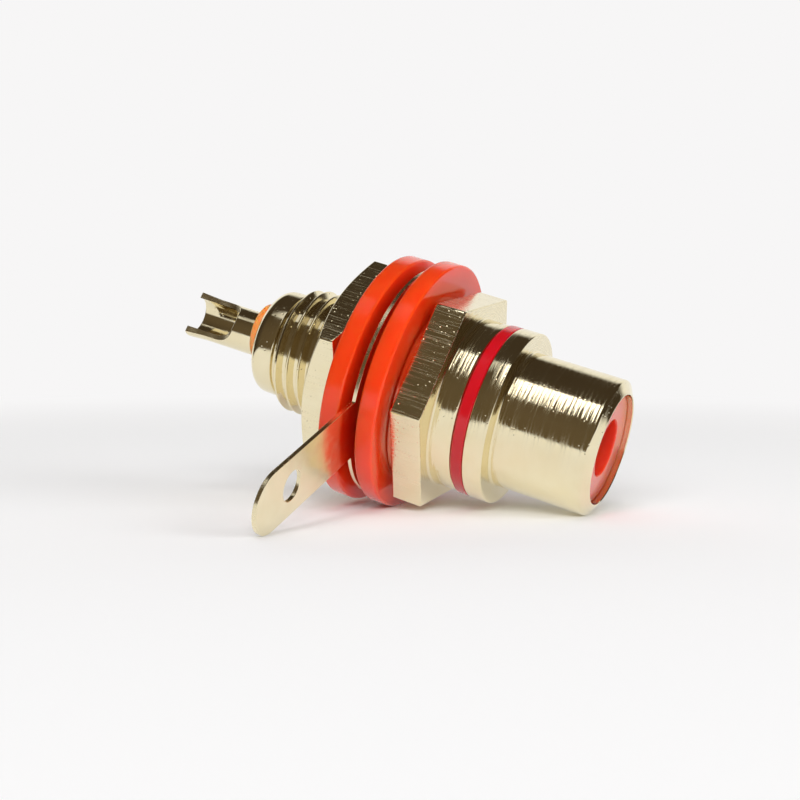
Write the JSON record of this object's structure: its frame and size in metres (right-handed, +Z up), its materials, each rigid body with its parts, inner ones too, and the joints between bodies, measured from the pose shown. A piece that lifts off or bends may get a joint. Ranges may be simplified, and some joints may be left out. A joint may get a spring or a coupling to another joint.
{
  "type": "rca panel socket",
  "caption": "Gold-plated insulated panel socket for a coaxial audio plug, with hex flange, insulating washers, solder tag, hex nut and solder cup.",
  "frame": {"origin": "middle of the lying part's box, on the table that it rests on", "axes": "+X along the table towards the mouth, which points down by the tilt at rest; +Z up from the table"},
  "size_m": [0.029, 0.024, 0.0153],
  "materials": {
    "gold_plated_brass": "bright gold plating over turned brass",
    "washer_red_plastic": "glossy moulded, slightly translucent",
    "ring_red_plastic": "glossy moulded",
    "face_red_plastic": "satin moulded, slightly translucent",
    "boss_orange_plastic": "satin moulded, slightly translucent"
  },
  "bodies": {
    "socket": {"shell": "gold_plated_brass", "colour_ring": "ring_red_plastic", "front_insulator": "face_red_plastic", "rear_insulator": "boss_orange_plastic", "centre_contact": "gold_plated_brass", "front_washer": "washer_red_plastic"},
    "clamp": {"rear_washer": "washer_red_plastic", "solder_tag": "gold_plated_brass"},
    "nut": {"hex_nut": "gold_plated_brass"}
  },
  "joints": [
    {"name": "clamp_slide", "type": "slide", "parent": "socket", "child": "clamp", "axis": [-0.9621, 0, 0.2728], "range_m": [0, 0.003]},
    {"name": "nut_turn", "type": "hinge", "parent": "clamp", "child": "nut", "pos_m": [-0.00121, 0.00438, 0.00809], "axis": [-0.9621, 0, 0.2728], "range_deg": [0, 1360.2]}
  ],
  "couplings": [
    {"joint": "nut_turn", "follows": "clamp_slide", "rad_per_m": 7913.3}
  ]
}
